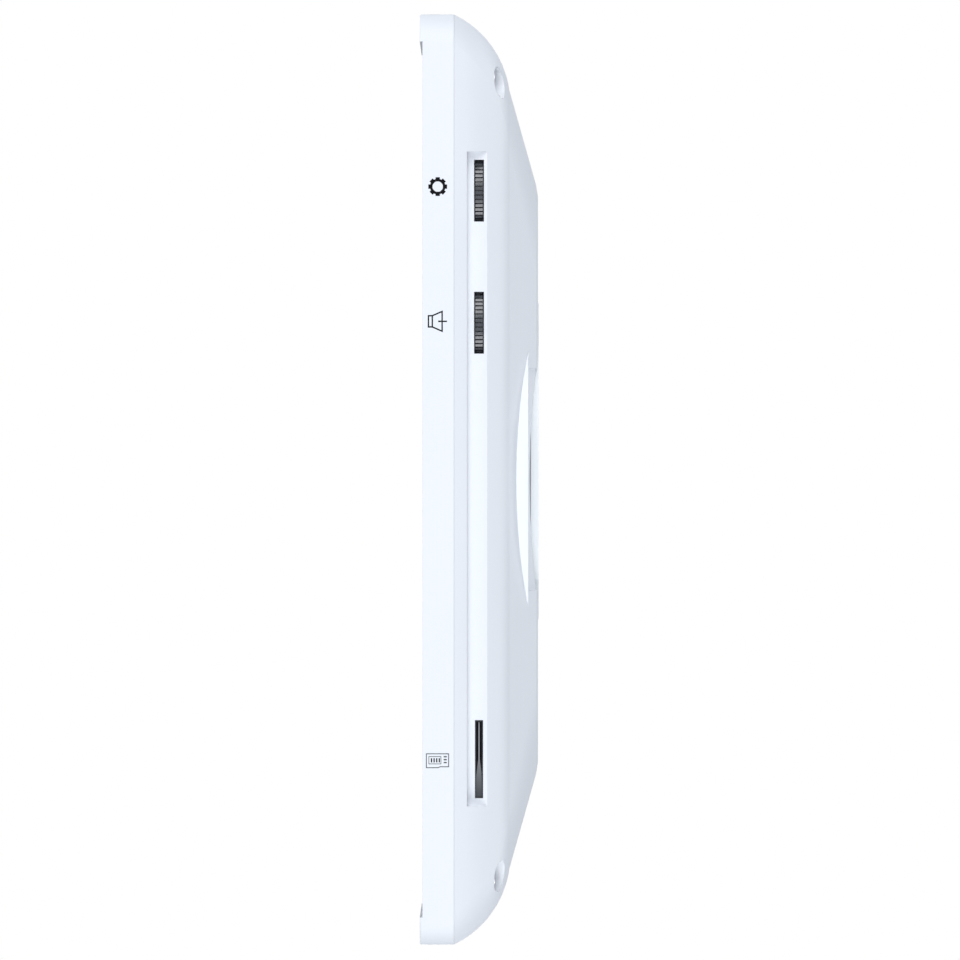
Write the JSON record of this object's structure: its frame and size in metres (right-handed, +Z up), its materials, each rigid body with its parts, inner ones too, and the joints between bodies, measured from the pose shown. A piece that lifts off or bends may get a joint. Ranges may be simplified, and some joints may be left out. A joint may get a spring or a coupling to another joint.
{
  "type": "video doorbell indoor monitor",
  "caption": "Slim wall-hung indoor monitor of a video doorbell with a flat front panel, a domed rear shell, side thumbwheels, a card slot and a hook-on wall bracket.",
  "frame": {"origin": "centre of the wall bracket's back face, midway between its two inner screw holes, on the wall plane", "axes": "+X to the right seen from the front, +Y from the front panel back into the wall, +Z up"},
  "size_m": [0.226, 0.0183, 0.143],
  "materials": {
    "front_frame": "fine satin white",
    "front_panel": "gloss black print behind clear acrylic",
    "panel_tape": "black foam tape",
    "rear_shell": "fine satin white",
    "case_screws": "zinc plated",
    "wall_bracket": "white powder coat",
    "lcd_bezel": "pressed steel",
    "lcd_backlight": "light guide",
    "lcd_glass": "dark glass",
    "lcd_gasket": "black foam",
    "lcd_flex_cable": "amber polyimide",
    "main_board": "green solder mask",
    "board_screws": "zinc plated",
    "processor_chip": "black epoxy",
    "memory_chip": "black epoxy",
    "regulator_chip": "black epoxy",
    "power_inductor": "ferrite grey",
    "power_capacitors": "aluminium cans",
    "display_socket": "ivory nylon",
    "door_1_socket": "ivory nylon",
    "door_2_socket": "ivory nylon",
    "power_socket": "red nylon",
    "socket_pins": "tinned brass",
    "touch_key_board": "green solder mask",
    "key_light_board": "white solder mask",
    "key_lights": "phosphor yellow white",
    "control_board": "green solder mask",
    "control_board_screws": "zinc plated",
    "settings_wheel": "dark grey",
    "volume_wheel": "dark grey",
    "settings_carriage": "black acetal",
    "settings_encoder_base": "black nylon",
    "push_switch": "black nylon",
    "push_switch_plunger": "natural acetal",
    "volume_potentiometer": "black nylon",
    "card_socket_base": "black liquid crystal polymer",
    "card_socket_shield": "pressed stainless steel",
    "card_ejector": "dark grey acetal",
    "ejector_spring": "spring steel",
    "card_slot_guide": "black nylon",
    "card_dust_seal": "grey soft elastomer",
    "speaker_frame": "black pressed steel",
    "speaker_magnet": "plated magnet cup",
    "speaker_cone": "black paper",
    "speaker_gasket": "black foam",
    "speaker_lead_red": "red insulation",
    "speaker_lead_black": "black insulation",
    "microphone_boot": "black rubber",
    "microphone": "aluminium can",
    "board_link_cable": "white laminated ribbon"
  },
  "bodies": {
    "bracket": {"wall_bracket": "wall_bracket"},
    "settings_carriage": {"settings_carriage": "settings_carriage", "push_switch_plunger": "push_switch_plunger"},
    "settings_wheel": {"settings_wheel": "settings_wheel"},
    "volume_wheel": {"volume_wheel": "volume_wheel"},
    "card_ejector": {"card_ejector": "card_ejector"},
    "monitor": {"front_frame": "front_frame", "front_panel": "front_panel", "panel_tape": "panel_tape", "rear_shell": "rear_shell", "case_screws": "case_screws", "lcd_bezel": "lcd_bezel", "lcd_backlight": "lcd_backlight", "lcd_glass": "lcd_glass", "lcd_gasket": "lcd_gasket", "lcd_flex_cable": "lcd_flex_cable", "main_board": "main_board", "board_screws": "board_screws", "processor_chip": "processor_chip", "memory_chip": "memory_chip", "regulator_chip": "regulator_chip", "power_inductor": "power_inductor", "power_capacitors": "power_capacitors", "display_socket": "display_socket", "door_1_socket": "door_1_socket", "door_2_socket": "door_2_socket", "power_socket": "power_socket", "socket_pins": "socket_pins", "touch_key_board": "touch_key_board", "key_light_board": "key_light_board", "key_lights": "key_lights", "control_board": "control_board", "control_board_screws": "control_board_screws", "settings_encoder_base": "settings_encoder_base", "push_switch": "push_switch", "volume_potentiometer": "volume_potentiometer", "card_socket_base": "card_socket_base", "card_socket_shield": "card_socket_shield", "ejector_spring": "ejector_spring", "card_slot_guide": "card_slot_guide", "card_dust_seal": "card_dust_seal", "speaker_frame": "speaker_frame", "speaker_magnet": "speaker_magnet", "speaker_cone": "speaker_cone", "speaker_gasket": "speaker_gasket", "speaker_lead_red": "speaker_lead_red", "speaker_lead_black": "speaker_lead_black", "microphone_boot": "microphone_boot", "microphone": "microphone", "board_link_cable": "board_link_cable"}
  },
  "joints": [
    {"name": "monitor_lift", "type": "slide", "parent": "bracket", "child": "monitor", "axis": [0, 0, 1], "range_m": [0, 0.0052]},
    {"name": "settings_press", "type": "slide", "parent": "monitor", "child": "settings_carriage", "axis": [-1, 0, 0], "range_m": [0, 0.0006], "stiffness_N_per_m": 1500, "springref_m": -0.0004},
    {"name": "settings_turn", "type": "hinge", "parent": "settings_carriage", "child": "settings_wheel", "pos_m": [0.1026, -0.0092, 0.0444], "axis": [0, 1, 0], "continuous": true},
    {"name": "volume_turn", "type": "hinge", "parent": "monitor", "child": "volume_wheel", "pos_m": [0.1026, -0.0092, 0.0241], "axis": [0, 1, 0], "range_deg": [-135, 135]},
    {"name": "card_eject", "type": "slide", "parent": "monitor", "child": "card_ejector", "axis": [-1, 0, 0], "range_m": [0, 0.0012], "stiffness_N_per_m": 500, "springref_m": -0.0005, "deforming": ["ejector_spring"]}
  ]
}
